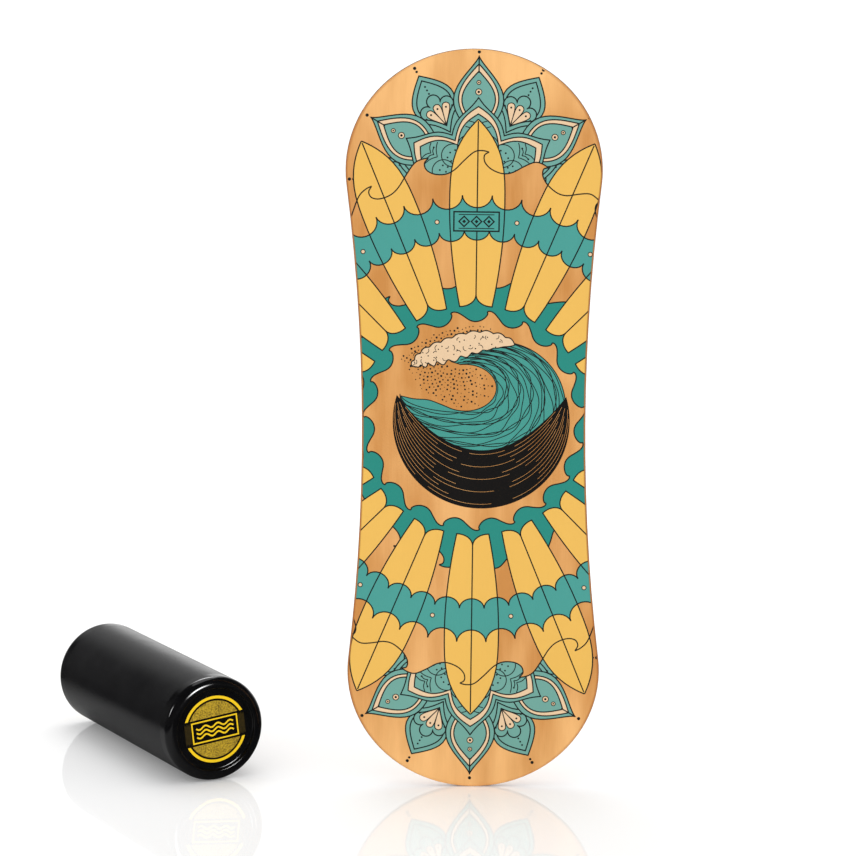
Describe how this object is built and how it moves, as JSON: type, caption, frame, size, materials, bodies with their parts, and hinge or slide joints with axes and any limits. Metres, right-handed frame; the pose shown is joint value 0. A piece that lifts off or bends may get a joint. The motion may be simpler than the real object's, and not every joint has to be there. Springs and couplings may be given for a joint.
{
  "type": "balance board",
  "caption": "Plywood balance board with rounded ends, narrowed waist and stop bars underneath, with a loose black roller lying beside it.",
  "frame": {"origin": "centre of the deck's flat standing face", "axes": "-Y out of the standing face, +Z along the deck to its upper end, +X to the right seen from the face"},
  "size_m": [0.5862, 0.3142, 0.76],
  "materials": {
    "face_wood": "printed and satin varnished",
    "cross_wood": "varnished end grain",
    "long_wood": "varnished edge grain",
    "back_wood": "satin varnished",
    "stop_wood": "satin varnished beech",
    "screw_steel": "zinc plated",
    "core_plastic": "extruded",
    "sleeve_rubber": "satin",
    "cap_plastic": "gloss",
    "label_print": "printed vinyl"
  },
  "bodies": {
    "deck": {"face_ply": "face_wood", "cross_ply_2": "cross_wood", "long_ply_3": "long_wood", "cross_ply_4": "cross_wood", "long_ply_5": "long_wood", "cross_ply_6": "cross_wood", "back_ply": "back_wood", "upper_stop": "stop_wood", "lower_stop": "stop_wood", "upper_stop_screws": "screw_steel", "lower_stop_screws": "screw_steel"},
    "roller": {"roller_core_tube": "core_plastic", "roller_grip_sleeve": "sleeve_rubber", "front_end_cap": "cap_plastic", "rear_end_cap": "cap_plastic", "front_label": "label_print", "rear_label": "label_print"}
  },
  "joints": [
    {"name": "roller_spin", "type": "hinge", "parent": "deck", "child": "roller", "pos_m": [-0.339, 0.153, -0.325], "axis": [0.4756, -0.8796, 0], "continuous": true}
  ]
}
